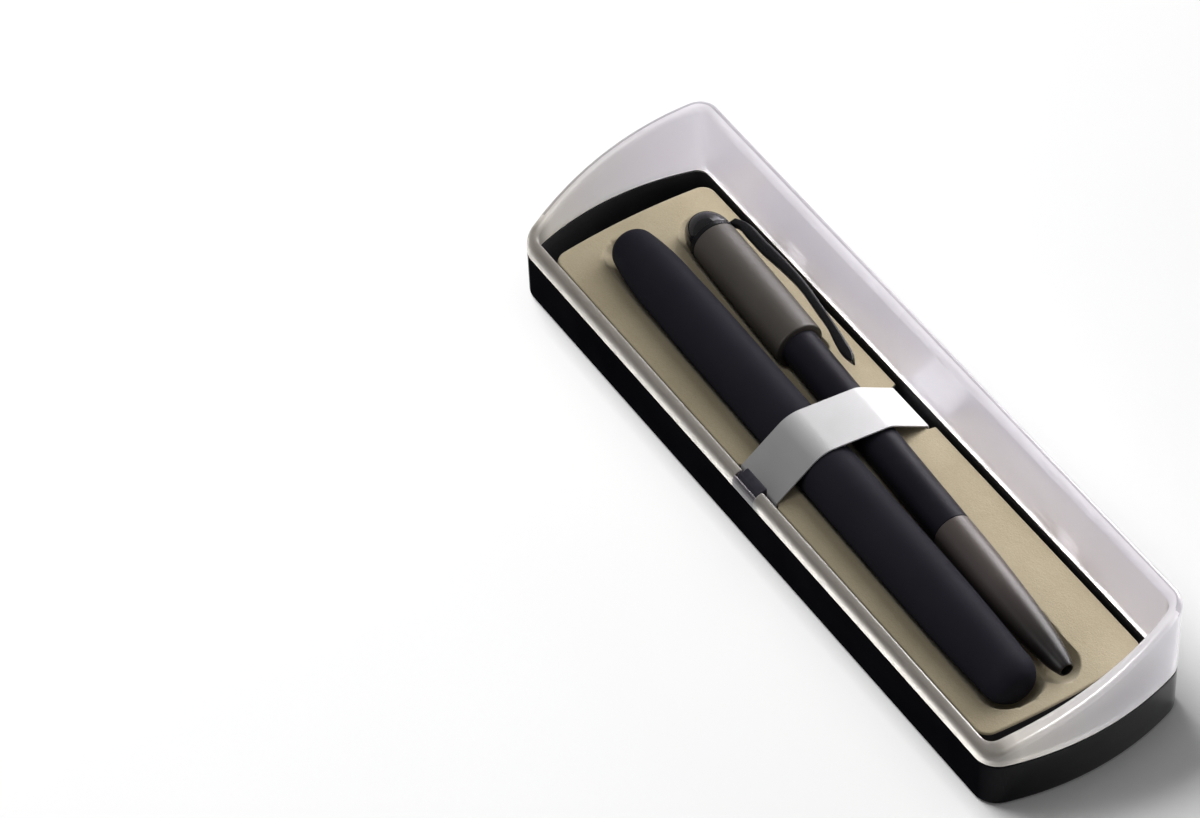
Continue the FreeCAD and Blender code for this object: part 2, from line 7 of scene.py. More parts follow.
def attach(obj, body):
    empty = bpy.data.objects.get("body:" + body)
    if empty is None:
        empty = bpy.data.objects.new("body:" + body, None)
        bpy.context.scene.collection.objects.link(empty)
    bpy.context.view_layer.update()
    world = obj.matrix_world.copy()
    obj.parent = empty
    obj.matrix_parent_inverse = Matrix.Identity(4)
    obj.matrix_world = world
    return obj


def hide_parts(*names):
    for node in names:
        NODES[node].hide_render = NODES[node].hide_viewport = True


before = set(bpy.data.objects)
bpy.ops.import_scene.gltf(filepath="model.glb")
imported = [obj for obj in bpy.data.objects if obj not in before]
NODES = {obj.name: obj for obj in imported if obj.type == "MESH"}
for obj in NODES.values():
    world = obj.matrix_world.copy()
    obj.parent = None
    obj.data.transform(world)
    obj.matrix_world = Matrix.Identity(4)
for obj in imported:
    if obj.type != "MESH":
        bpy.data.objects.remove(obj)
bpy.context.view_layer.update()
MM = 0.001

# ------------------------------------------------------------------ dimensions
# Millimetres, box coordinates: the case's long sides lie at y = +-HW and
# everything is moved by Y_SHIFT into the part's own frame.
Y_SHIFT = -1.6
HALF_LEN, HW, END_R, CORNER_R, WALL = 83.2, 22.25, 60.2, 5.2, 2.5
BASE_H, FLOOR, FOOT_R = 11.0, 1.8, 0.9
Z0 = 11.2
RIM_FRONT, RIM_BACK, RIM_BOW, RIM_ROUND = 13.8, 29.4, 0.9, 1.1
HINGE_X, HINGE_Y, HINGE_Z, KNUCKLE_R = 45.0, 23.95, 11.1, 1.5
NOTCH, LIP_SKIN = 3.5, 0.7
TRAY_L, TRAY_W, TRAY_END_R, TRAY_CORNER, TRAY_TOP, TRAY_FOOT = 74.15, 18.4, 150.0, 3.0, 10.2, 2.05
TRAY_MX, TRAY_MY = -1.25, 0.5
STRAP_X, STRAP_W, STRAP_EDGE = -1.5, 12.0, 17.3
RB = dict(c=(-0.8, -5.15, 11.3), slope=-0.018, half=68.4, r=6.05, joint=-5.0)
BP = dict(c=(1.1, 7.05, 11.4), slope=-0.0545, far=-67.4, joint=-27.2, nose=28.3, tip=67.4, r=5.2, low=4.05)
CLIP_TURN = math.radians(18.0)


# --------------------------------------------------------------------- helpers
def new_piece(name, verts, faces, sharp=38.0, shift=True):
    """Mesh object from millimetre points."""
    v = np.asarray(verts, float).copy()
    if shift:
        v[:, 1] += Y_SHIFT
    me = bpy.data.meshes.new(name)
    me.from_pydata((v * MM).tolist(), [], [tuple(f) for f in faces])
    me.validate()
    me.update()
    ob = bpy.data.objects.new(name, me)
    bpy.context.scene.collection.objects.link(ob)
    me.shade_smooth()
    if sharp is not None:
        me.set_sharp_from_angle(angle=math.radians(sharp))
    return ob


def loft(rings, cyc_ring=True, cyc_rows=False, cap_first=False, cap_last=False):
    """Quads between rows of points; every row has the same count."""
    n, m = len(rings), len(rings[0])
    verts = [p for r in rings for p in r]
    faces = []
    for i in range(n if cyc_rows else n - 1):
        a, b = i * m, ((i + 1) % n) * m
        for j in range(m if cyc_ring else m - 1):
            k = (j + 1) % m
            faces.append((a + j, a + k, b + k, b + j))
    if cap_first:
        faces.append(tuple(range(m - 1, -1, -1)))
    if cap_last:
        faces.append(tuple((n - 1) * m + j for j in range(m)))
    return verts, faces


def join(*parts):
    verts, faces = [], []
    for v, f in parts:
        o = len(verts)
        verts += list(v)
        faces += [tuple(i + o for i in q) for q in f]
    return verts, faces


def fix_normals(ob):
    import bmesh
    bm = bmesh.new()
    bm.from_mesh(ob.data)
    bmesh.ops.recalc_face_normals(bm, faces=bm.faces)
    bm.to_mesh(ob.data)
    bm.free()
    return ob


def arc(cx, cy, r, a0, a1, n):
    return [(cx + r * math.cos(a0 + (a1 - a0) * i / (n - 1)), cy + r * math.sin(a0 + (a1 - a0) * i / (n - 1))) for i in range(n)]


def plan(half_len, half_w, end_r, corner_r, inset, gap=None, n_end=61, n_cor=15):
    """Plan outline offset inwards. With gap, it starts and stops at x = +-gap on the front side."""
    cx, yc = half_len - end_r, half_w - corner_r
    xc = cx + math.sqrt((end_r - corner_r) ** 2 - yc ** 2)
    th = math.atan2(yc, xc - cx)
    er, cr, hw = end_r - inset, corner_r - inset, half_w - inset
    p = []
    x_first = gap if gap is not None else 0.0
    p += [(x_first + (xc - x_first) * i / 24.0, -hw) for i in range(24)]
    p += arc(xc, -yc, cr, -math.pi / 2, -th, n_cor)[:-1]
    p += arc(cx, 0, er, -th, th, n_end)[:-1]
    p += arc(xc, yc, cr, th, math.pi / 2, n_cor)[:-1]
    p += [(xc - 2 * xc * i / 48.0, hw) for i in range(48)]
    p += arc(-xc, yc, cr, math.pi / 2, math.pi - th, n_cor)[:-1]
    p += arc(-cx, 0, er, math.pi - th, math.pi + th, n_end)[:-1]
    p += arc(-xc, -yc, cr, math.pi + th, 1.5 * math.pi, n_cor)[:-1]
    p += [(-xc + (xc - x_first) * i / 24.0, -hw) for i in range(25 if gap is not None else 24)]
    return p


def case_plan(inset, gap=None):
    return plan(HALF_LEN, HW, END_R, CORNER_R, inset, gap)


_chord = math.hypot(2 * HW, RIM_BACK - RIM_FRONT)
_slope = math.atan2(RIM_BACK - RIM_FRONT, 2 * HW)
_rim_r = (_chord ** 2 / 4 + RIM_BOW ** 2) / (2 * RIM_BOW)
_rim_cy = (_rim_r - RIM_BOW) * math.sin(_slope)
_rim_cz = (RIM_FRONT + RIM_BACK) / 2 - (_rim_r - RIM_BOW) * math.cos(_slope)


def rim_z(y):
    return _rim_cz + math.sqrt(_rim_r ** 2 - (y - _rim_cy) ** 2)


def prism_x(yz, x0, x1, bevel=0.12, seg=3):
    """Rounded prism along X over a YZ polygon (edges softened by a small bevel)."""
    import bmesh
    bm = bmesh.new()
    lo = [bm.verts.new((x0, y, z)) for y, z in yz]
    hi = [bm.verts.new((x1, y, z)) for y, z in yz]
    n = len(yz)
    bm.faces.new(lo[::-1])
    bm.faces.new(hi)
    for i in range(n):
        k = (i + 1) % n
        bm.faces.new((lo[i], lo[k], hi[k], hi[i]))
    bmesh.ops.recalc_face_normals(bm, faces=bm.faces)
    if bevel > 0:
        es = [e for e in bm.edges if e.calc_face_angle(0) > math.radians(25)]
        bmesh.ops.bevel(bm, geom=es, offset=bevel, segments=seg, profile=0.5, affect="EDGES", clamp_overlap=True)
    bm.verts.index_update()
    v = [tuple(q.co) for q in bm.verts]
    f = [tuple(q.index for q in fc.verts) for fc in bm.faces]
    bm.free()
    return v, f


def pen_matrix(pen):
    cx, cy, cz = pen["c"]
    yaw = math.atan2(pen["slope"], 1.0)
    return np.array([[math.cos(yaw), -math.sin(yaw), 0, cx], [math.sin(yaw), math.cos(yaw), 0, cy], [0, 0, 1, cz]])


def to_box(pts, pen):
    m = pen_matrix(pen)
    p = np.asarray(pts, float)
    return (p @ m[:, :3].T + m[:, 3]).tolist()


def dense(profile, step=0.8):
    """Resamples a list of (u, r) / ('arc', mid, end) items to short runs."""
    out = [tuple(profile[0])]
    for q in profile[1:]:
        p0 = np.array(out[-1], float)
        if q[0] == "arc":
            p1, p2 = np.array(q[1], float), np.array(q[2], float)
            d = 2 * (p0[0] * (p1[1] - p2[1]) + p1[0] * (p2[1] - p0[1]) + p2[0] * (p0[1] - p1[1]))
            s0, s1, s2 = p0 @ p0, p1 @ p1, p2 @ p2
            ux = (s0 * (p1[1] - p2[1]) + s1 * (p2[1] - p0[1]) + s2 * (p0[1] - p1[1])) / d
            uy = (s0 * (p2[0] - p1[0]) + s1 * (p0[0] - p2[0]) + s2 * (p1[0] - p0[0])) / d
            c = np.array([ux, uy])
            r = np.linalg.norm(p0 - c)
            a0, a1, a2 = [math.atan2(*(p - c)[::-1]) for p in (p0, p1, p2)]
            up = (a2 - a0) % (2 * math.pi)
            if not 0 <= (a1 - a0) % (2 * math.pi) <= up:
                up -= 2 * math.pi
            n = max(5, int(abs(up) * r / step) + 1)
            for i in range(1, n + 1):
                a = a0 + up * i / n
                out.append((c[0] + r * math.cos(a), c[1] + r * math.sin(a)))
        else:
            p1 = np.array(q, float)
            n = max(1, int(np.linalg.norm(p1 - p0) / 3.0))
            for i in range(1, n + 1):
                out.append(tuple(p0 + (p1 - p0) * i / n))
    return out


def lathe(profile, seg=96):
    """Turned surface about the local X axis; points on the axis close it."""
    verts, faces, rows = [], [], []
    for u, r in profile:
        if r < 1e-6:
            rows.append([len(verts)])
            verts.append((u, 0.0, 0.0))
        else:
            rows.append(list(range(len(verts), len(verts) + seg)))
            verts += [(u, r * math.cos(2 * math.pi * i / seg), r * math.sin(2 * math.pi * i / seg)) for i in range(seg)]
    for a, b in zip(rows[:-1], rows[1:]):
        for i in range(seg):
            k = (i + 1) % seg
            if len(a) == 1 and len(b) == 1:
                break
            if len(a) == 1:
                faces.append((a[0], b[k], b[i]))
            elif len(b) == 1:
                faces.append((a[i], a[k], b[0]))
            else:
                faces.append((a[i], a[k], b[k], b[i]))
    return verts, faces


# ------------------------------------------------------------------- materials
def mat(name):
    m = bpy.data.materials.new(name)
    m.use_nodes = True
    nt = m.node_tree
    for n in list(nt.nodes):
        nt.nodes.remove(n)
    out = nt.nodes.new("ShaderNodeOutputMaterial")
    bs = nt.nodes.new("ShaderNodeBsdfPrincipled")
    nt.links.new(bs.outputs[0], out.inputs[0])
    return m, nt, bs


def coords(nt, scale=(1, 1, 1)):
    tc = nt.nodes.new("ShaderNodeTexCoord")
    mp = nt.nodes.new("ShaderNodeMapping")
    mp.inputs["Scale"].default_value = scale
    nt.links.new(tc.outputs["Object"], mp.inputs["Vector"])
    return mp.outputs["Vector"]


def noise(nt, vec, scale, detail=4.0, rough=0.55):
    n = nt.nodes.new("ShaderNodeTexNoise")
    n.inputs["Scale"].default_value = scale
    n.inputs["Detail"].default_value = detail
    n.inputs["Roughness"].default_value = rough
    nt.links.new(vec, n.inputs["Vector"])
    return n.outputs["Fac"]


def ramp(nt, fac, stops):
    r = nt.nodes.new("ShaderNodeValToRGB")
    els = r.color_ramp.elements
    while len(els) < len(stops):
        els.new(0.5)
    for e, (pos, col) in zip(els, stops):
        e.position = pos
        e.color = tuple(col) + ((1.0,) if len(col) == 3 else ())
    nt.links.new(fac, r.inputs["Fac"])
    return r.outputs["Color"]


def span(nt, fac, lo, hi, f0=0.3, f1=0.7):
    r = nt.nodes.new("ShaderNodeMapRange")
    r.inputs["From Min"].default_value = f0
    r.inputs["From Max"].default_value = f1
    r.inputs["To Min"].default_value = lo
    r.inputs["To Max"].default_value = hi
    nt.links.new(fac, r.inputs["Value"])
    return r.outputs["Result"]


def bump(nt, height, strength, dist, chain=None):
    b = nt.nodes.new("ShaderNodeBump")
    b.inputs["Strength"].default_value = strength
    b.inputs["Distance"].default_value = dist
    nt.links.new(height, b.inputs["Height"])
    if chain is not None:
        nt.links.new(chain, b.inputs["Normal"])
    return b.outputs["Normal"]


def gloss_black():
    m, nt, bs = mat("base_gloss_black")
    v = coords(nt)
    n = noise(nt, v, 60.0, 3.0)
    nt.links.new(ramp(nt, n, [(0.3, (0.0035, 0.0035, 0.0045)), (0.7, (0.006, 0.006, 0.0075))]), bs.inputs["Base Color"])
    nt.links.new(span(nt, noise(nt, v, 900.0, 2.0), 0.10, 0.17), bs.inputs["Roughness"])
    nt.links.new(bump(nt, noise(nt, v, 1400.0, 2.0), 0.02, 0.00005), bs.inputs["Normal"])
    sep = nt.nodes.new("ShaderNodeSeparateXYZ")
    nt.links.new(v, sep.inputs[0])
    nt.links.new(span(nt, sep.outputs["Y"], 0.0, 0.95, -0.0237, 0.0200), bs.inputs["Specular IOR Level"])
    return m


def silver_hood(name, tint):
    """Half-clear, half-milky moulding; tint scales the colour."""
    m, nt, bs = mat(name)
    v = coords(nt)
    sep = nt.nodes.new("ShaderNodeSeparateXYZ")
    nt.links.new(v, sep.inputs[0])
    # painted shade: the colour darkens to a warm grey along the low front lip and dims again on the back rim's outside,
    # with pale lilac toward the high back
    run = nt.nodes.new("ShaderNodeMath")
    run.operation = "MULTIPLY_ADD"
    run.inputs[1].default_value = 0.04
    nt.links.new(noise(nt, v, 35.0, 3.0), run.inputs[0])
    nt.links.new(span(nt, sep.outputs["Y"], -0.02, 0.98, -0.02385, 0.02065), run.inputs[2])
    stops = [(0.0, (0.225, 0.210, 0.190)), (0.07, (0.250, 0.235, 0.215)), (0.15, (0.660, 0.635, 0.605)),
             (0.45, (0.730, 0.712, 0.722)), (0.80, (0.775, 0.755, 0.800)), (0.935, (0.785, 0.765, 0.812)), (1.0, (0.60, 0.585, 0.615))]
    nt.links.new(ramp(nt, run.outputs[0], [(q, tuple(c * t for c, t in zip(col, tint))) for q, col in stops]), bs.inputs["Base Color"])
    nt.links.new(span(nt, noise(nt, v, 900.0, 2.0), 0.30, 0.36), bs.inputs["Roughness"])
    nt.links.new(bump(nt, noise(nt, v, 700.0, 2.0), 0.01, 0.00003), bs.inputs["Normal"])
    bs.inputs["Transmission Weight"].default_value = 0.5
    bs.inputs["IOR"].default_value = 1.45
    bs.inputs["Subsurface Weight"].default_value = 0.9
    bs.inputs["Subsurface Radius"].default_value = (1.0, 0.97, 1.0)
    bs.inputs["Subsurface Scale"].default_value = 0.006
    nt.links.new(span(nt, sep.outputs["X"], 0.12, 0.4, -0.080, -0.030), bs.inputs["Specular IOR Level"])
    nt.links.new(span(nt, sep.outputs["X"], 0.0, 1.0, -0.078, -0.030), bs.inputs["Coat Weight"])
    nt.links.new(span(nt, sep.outputs["X"], 0.30, 0.08, -0.020, 0.075), bs.inputs["Coat Roughness"])
    bs.inputs["Coat IOR"].default_value = 1.5
    return m


def catch_grey():
    m, nt, bs = mat("catch_dark_grey")
    v = coords(nt)
    n = noise(nt, v, 700.0, 3.0)
    nt.links.new(ramp(nt, n, [(0.3, (0.018, 0.017, 0.024)), (0.7, (0.026, 0.025, 0.033))]), bs.inputs["Base Color"])
    nt.links.new(span(nt, n, 0.40, 0.52), bs.inputs["Roughness"])
    nt.links.new(bump(nt, noise(nt, v, 4000.0, 2.0), 0.1, 0.00003), bs.inputs["Normal"])
    bs.inputs["Specular IOR Level"].default_value = 0.12
    return m


def flock():
    m, nt, bs = mat("insert_beige_flock")
    v = coords(nt)
    big = noise(nt, v, 45.0, 4.0, 0.6)
    fine = noise(nt, v, 3200.0, 3.0, 0.7)
    mix = nt.nodes.new("ShaderNodeMath")
    mix.operation = "MULTIPLY_ADD"
    mix.inputs[1].default_value = 0.45
    nt.links.new(fine, mix.inputs[0])
    nt.links.new(span(nt, big, 0.15, 0.45), mix.inputs[2])
    nt.links.new(ramp(nt, mix.outputs[0], [(0.2, (0.250, 0.213, 0.140)), (0.5, (0.325, 0.280, 0.192)), (0.8, (0.380, 0.330, 0.236))]),
                 bs.inputs["Base Color"])
    bs.inputs["Roughness"].default_value = 0.95
    bs.inputs["Specular IOR Level"].default_value = 0.15
    bs.inputs["Sheen Weight"].default_value = 0.35
    bs.inputs["Sheen Roughness"].default_value = 0.5
    bs.inputs["Sheen Tint"].default_value = (1.0, 0.94, 0.82, 1.0)
    b1 = bump(nt, fine, 0.55, 0.00012)
    nt.links.new(bump(nt, noise(nt, v, 900.0, 4.0, 0.65), 0.35, 0.00015, b1), bs.inputs["Normal"])
    return m


def strap_white():
    m, nt, bs = mat("strap_white_band")
    v = coords(nt, (1.0, 1.0, 1.0))
    w = nt.nodes.new("ShaderNodeTexWave")
    w.wave_type = "BANDS"
    w.bands_direction = "X"
    w.inputs["Scale"].default_value = 620.0
    w.inputs["Distortion"].default_value = 0.6
    w.inputs["Detail"].default_value = 1.0
    nt.links.new(v, w.inputs["Vector"])
    n = noise(nt, v, 90.0, 3.0)
    nt.links.new(ramp(nt, n, [(0.3, (0.44, 0.44, 0.45)), (0.7, (0.475, 0.475, 0.485))]), bs.inputs["Base Color"])
    nt.links.new(span(nt, n, 0.42, 0.52), bs.inputs["Roughness"])
    bs.inputs["Sheen Weight"].default_value = 0.15
    b1 = bump(nt, w.outputs["Fac"], 0.12, 0.00003)
    nt.links.new(bump(nt, noise(nt, v, 2600.0, 2.0), 0.08, 0.00003, b1), bs.inputs["Normal"])
    return m


def pen_finish(name, dark, light, r0, r1, grain=2600.0, strength=0.06, coat=0.0, metallic=0.0, spec=0.5):
    m, nt, bs = mat(name)
    v = coords(nt)
    n = noise(nt, v, 70.0, 3.0)
    nt.links.new(ramp(nt, n, [(0.3, dark), (0.7, light)]), bs.inputs["Base Color"])
    g = noise(nt, v, grain, 2.0)
    nt.links.new(span(nt, g, r0, r1), bs.inputs["Roughness"])
    nt.links.new(bump(nt, g, strength, 0.00003), bs.inputs["Normal"])
    bs.inputs["Metallic"].default_value = metallic
    bs.inputs["Specular IOR Level"].default_value = spec
    if coat:
        bs.inputs["Coat Weight"].default_value = coat
        bs.inputs["Coat Roughness"].default_value = 0.04
    return m


def nose_finish():
    m, nt, bs = mat("pen_gunmetal")
    v = coords(nt)
    sep = nt.nodes.new("ShaderNodeSeparateXYZ")
    nt.links.new(v, sep.inputs[0])
    # painted shade: the colour darkens from the middle of the nose toward its tip
    run = nt.nodes.new("ShaderNodeMath")
    run.operation = "MULTIPLY_ADD"
    run.inputs[1].default_value = 0.05
    nt.links.new(noise(nt, v, 70.0, 3.0), run.inputs[0])
    nt.links.new(span(nt, sep.outputs["X"], -0.025, 0.975, 0.0294, 0.0685), run.inputs[2])
    nt.links.new(ramp(nt, run.outputs[0], [(0.0, (0.060, 0.050, 0.047)), (0.40, (0.056, 0.047, 0.045)), (0.66, (0.030, 0.025, 0.024)),
                                           (0.84, (0.012, 0.010, 0.010)), (1.0, (0.008, 0.007, 0.007))]), bs.inputs["Base Color"])
    g = noise(nt, v, 2600.0, 2.0)
    nt.links.new(span(nt, g, 0.36, 0.42), bs.inputs["Roughness"])
    nt.links.new(bump(nt, g, 0.004, 0.00003), bs.inputs["Normal"])
    bs.inputs["Metallic"].default_value = 0.1
    bs.inputs["Specular IOR Level"].default_value = 0.22
    return m


def floor_pale():
    m, nt, bs = mat("stage_floor")
    v = coords(nt)
    n = noise(nt, v, 6.0, 3.0)
    nt.links.new(ramp(nt, n, [(0.3, (0.93, 0.93, 0.93)), (0.7, (0.95, 0.95, 0.95))]), bs.inputs["Base Color"])
    bs.inputs["Roughness"].default_value = 0.9
    bs.inputs["Specular IOR Level"].default_value = 0.1
    return m


M_BASE = gloss_black()
# painted light: the inner black is several times lighter than the outer gloss black, so the shaded gaps inside the case
# read lighter
M_INNER = pen_finish("base_inside_satin_painted_lift", (0.024, 0.024, 0.026), (0.031, 0.031, 0.033), 0.45, 0.6, 1800.0, 0.08, spec=0.2)
M_HOOD = silver_hood("hood_silver_lilac", (1.0, 1.0, 1.0))
# painted shade: a darker copy of the hood finish for the thin lip over the dark catch
M_HOOD_PAINTED_SHADE = silver_hood("hood_painted_shade_before_catch", (0.22, 0.20, 0.27))
# painted highlight: a lighter copy of the hood finish for a pale line along the lower edges
M_HOOD_PAINTED_HIGHLIGHT = silver_hood("hood_lower_edge_painted_highlight", (1.25, 1.25, 1.2))
# painted shade: a darker copy of the hood finish for a thin outline round the far and back rim
M_HOOD_PAINTED_OUTLINE = silver_hood("hood_rim_painted_dark_outline", (0.50, 0.49, 0.51))
M_CATCH = catch_grey()
M_FLOCK = flock()
M_STRAP = strap_white()
M_MATTE = pen_finish("pen_matt_black", (0.0110, 0.0108, 0.0150), (0.0135, 0.0132, 0.0180), 0.50, 0.60, 3200.0, 0.10, spec=0.025)
M_SATIN = pen_finish("pen_satin_black", (0.0085, 0.0080, 0.0115), (0.0105, 0.0100, 0.0140), 0.40, 0.48, spec=0.05)
M_LACQ = pen_finish("pen_lacquer_black", (0.005, 0.005, 0.006), (0.008, 0.008, 0.009), 0.10, 0.16, coat=0.3, spec=0.3)
M_TAUPE = pen_finish("pen_taupe_satin", (0.044, 0.039, 0.0345), (0.055, 0.049, 0.0435), 0.42, 0.52, spec=0.25)
M_GUN = nose_finish()
M_CLIP = pen_finish("clip_black", (0.006, 0.006, 0.007), (0.009, 0.009, 0.010), 0.26, 0.34, spec=0.10)
M_PIN = pen_finish("hinge_pin_steel", (0.40, 0.40, 0.40), (0.52, 0.52, 0.52), 0.25, 0.4, metallic=1.0)
M_BOARD = pen_finish("insert_board_grey", (0.17, 0.16, 0.145), (0.23, 0.215, 0.20), 0.8, 0.95, 700.0, 0.3, spec=0.2)
M_MOULD = pen_finish("inner_moulding_black", (0.018, 0.018, 0.019), (0.026, 0.026, 0.027), 0.4, 0.55)
M_PALE = pen_finish("inner_moulding_pale", (0.55, 0.55, 0.53), (0.62, 0.62, 0.60), 0.35, 0.5)
M_BRASS = pen_finish("refill_brass", (0.50, 0.36, 0.15), (0.62, 0.46, 0.21), 0.22, 0.34, metallic=1.0)


def dress(ob, material, body, node=None):
    ob.data.materials.clear()
    ob.data.materials.append(material)
    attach(ob, body)
    if node:
        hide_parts(node)
    return ob


# ------------------------------------------------------------------ base shell
def base_piece():
    st = []
    for a in np.linspace(0, math.pi / 2, 9):       # rounded foot
        st.append((FOOT_R * (1 - math.sin(a)), FOOT_R * (1 - math.cos(a))))
    st += [(0.0, 3.5), (0.0, 7.0), (0.0, 10.0)]
    for a in np.linspace(0, math.pi / 2, 6):       # outer top edge
        st.append((0.25 * (1 - math.cos(a)), BASE_H - 0.25 + 0.25 * math.sin(a)))
    for a in np.linspace(0, math.pi / 2, 5):       # inner top edge
        st.append((WALL - 0.2 + 0.2 * math.sin(a), BASE_H - 0.2 + 0.2 * math.cos(a)))
    st += [(WALL, 8.0), (WALL, 5.0)]
    for a in np.linspace(0, math.pi / 2, 6):       # fillet to the floor
        st.append((WALL + 0.6 * (1 - math.cos(a)), FLOOR + 0.6 * (1 - math.sin(a))))
    rings = [[(x, y, z) for x, y in case_plan(d)] for d, z in st]
    shell = loft(rings, True, False, True, True)
    parts = [shell]
    for cx in (-HINGE_X, HINGE_X):
        for x0, x1 in ((cx - 8.3, cx - 3.3), (cx + 3.3, cx + 8.3)):
            yz = knuckle_profile(-1)
            parts.append(prism_x(yz, x0, x1, 0.18, 3))
    for sgn in (-1, 1):
        x0, x1 = sorted((sgn * 3.55, sgn * 4.55))
        parts.append(prism_x([(-20.2, 1.6), (-18.15, 1.6), (-18.15, 4.0), (-18.75, 4.7), (-20.2, 4.7)], x0, x1, 0.12, 2))
    v, f = join(*parts)
    return fix_normals(new_piece("base_shell_skin", v, f, 40.0))


def knuckle_profile(side):
    """Barrel and web of one knuckle in the YZ plane; side -1 hangs down to the base, +1 up to the hood."""
    n = 28
    if side < 0:
        arc_pts = [(HINGE_Y + KNUCKLE_R * math.cos(a), HINGE_Z + KNUCKLE_R * math.sin(a))
                   for a in np.linspace(math.radians(-78), math.radians(195), n)]
        return arc_pts + [(HW - 0.4, HINGE_Z - 0.45), (HW - 0.4, HINGE_Z - 4.2), (HW + 0.2, HINGE_Z - 4.2)]
    arc_pts = [(HINGE_Y + KNUCKLE_R * math.cos(a), HINGE_Z + KNUCKLE_R * math.sin(a))
               for a in np.linspace(math.radians(78), math.radians(-195), n)]
    return (arc_pts + [(HW - 0.4, HINGE_Z + 0.45), (HW - 0.4, HINGE_Z + 4.2), (HW + 0.2, HINGE_Z + 4.2)])


base = dress(base_piece(), M_BASE, "base", "base_shell")
base.data.materials.append(M_INNER)
_m = len(case_plan(0.0))
for k in list(range(20 * _m, 30 * _m)) + [30 * _m + 1]:      # inner wall, fillet and floor take the lighter inner black (painted light)
    base.data.polygons[k].material_index = 1


# ------------------------------------------------------------------ hood frame
def hood_profile():
    st = []
    for a in np.linspace(0, math.pi / 2, 5):
        st.append((0.25 * (1 - math.sin(a)), "z", 0.25 * (1 - math.cos(a))))
    st += [(0.0, "z", 0.55), (0.0, "mix", 0.35), (0.0, "mix", 0.7)]
    for a in np.linspace(0, math.pi / 2, 11):
        st.append((RIM_ROUND * (1 - math.cos(a)), "rim", -RIM_ROUND * (1 - math.sin(a))))
    for a in np.linspace(0, math.pi / 2, 11):
        st.append((WALL - RIM_ROUND + RIM_ROUND * math.sin(a), "rim", -RIM_ROUND * (1 - math.cos(a))))
    st += [(WALL, "mix", 0.7), (WALL, "mix", 0.35), (WALL, "z", 0.55)]
    for a in np.linspace(0, math.pi / 2, 5):
        st.append((WALL - 0.25 * (1 - math.cos(a)), "z", 0.25 * (1 - math.sin(a))))
    return st


def hood_row(d, how, h, pts):
    row = []
    for x, y in pts:
        if d > WALL / 2 and how != "z":            # the near rim swells a little inwards at its front half
            k = min(1.0, max(0.0, (x - 64.0) / 12.0))
            q = min(1.0, max(0.0, (14.0 - y) / 30.0))
            x -= 1.1 * k * k * (3 - 2 * k) * q * (1.0 if how == "rim" else h)
        if how == "z":
            z = Z0 + h
        elif how == "rim":
            z = rim_z(y) + h
        else:
            lo, hi = Z0 + 0.25, rim_z(y) - RIM_ROUND
            z = lo + (hi - lo) * h
        row.append((x, y, z))
    return row


def hood_piece():
    st = hood_profile()
    rows = [hood_row(d, how, h, case_plan(d, NOTCH)) for d, how, h in st]
    # the profile is the closed direction; the ring is open at the notch and capped there
    rings = list(map(list, zip(*rows)))
    main = loft(rings, True, False, True, True)
    # thin skin of lip left in front of the catch
    sk = []
    for a in np.linspace(0, math.pi / 2, 5):
        sk.append((0.25 * (1 - math.sin(a)), "z", 0.25 * (1 - math.cos(a))))
    sk += [(0.0, "mix", 0.5)]
    a_end = math.acos(1 - LIP_SKIN / RIM_ROUND)
    for a in np.linspace(0, a_end, 9):
        sk.append((RIM_ROUND * (1 - math.cos(a)), "rim", -RIM_ROUND * (1 - math.sin(a))))
    sk += [(LIP_SKIN, "rim", -1.0), (LIP_SKIN, "z", 0.0)]
    xs = np.linspace(-NOTCH, NOTCH, 15)
    rings2 = []
    for x in xs:
        rings2.append([hood_row(d, how, h, [(x, -HW + d)])[0] for d, how, h in sk])
    skin = loft(rings2, True, False, True, True)
    parts = [main, skin]
    for cx in (-HINGE_X, HINGE_X):
        parts.append(prism_x(knuckle_profile(1), cx - 3.0, cx + 3.0, 0.18, 3))
    v, f = join(*parts)
    return fix_normals(new_piece("hood_ring_skin", v, f, 40.0))


hood = dress(hood_piece(), M_HOOD, "hood", "hood_frame")
hood.data.materials.append(M_HOOD_PAINTED_SHADE)
hood.data.materials.append(M_HOOD_PAINTED_HIGHLIGHT)
hood.data.materials.append(M_HOOD_PAINTED_OUTLINE)
_m = len(hood_profile())
for k in range((len(case_plan(0.0, NOTCH)) - 1) * _m):         # painted highlight: a lighter copy of the hood finish gives a pale line along the lower edges
    if k % _m < 5 or k % _m >= _m - 6:
        hood.data.polygons[k].material_index = 2
    c = hood.data.polygons[k].center / MM
    if 9 <= k % _m <= 17 and (c.x < -74.0 and c.y - Y_SHIFT > 6.0 - HW or c.y - Y_SHIFT > HW - 3.0):      # painted shade: a darker copy of the hood finish draws a thin dull outline round the far and back rim
        hood.data.polygons[k].material_index = 3
for q in hood.data.polygons:
    c = q.center / MM
    if abs(c.x) < NOTCH + 0.1 and c.y - Y_SHIFT < -HW + 2.7:   # painted shade: the thin lip before the dark catch, and the notch's cheeks, take a darker copy of the hood finish
        q.material_index = 1


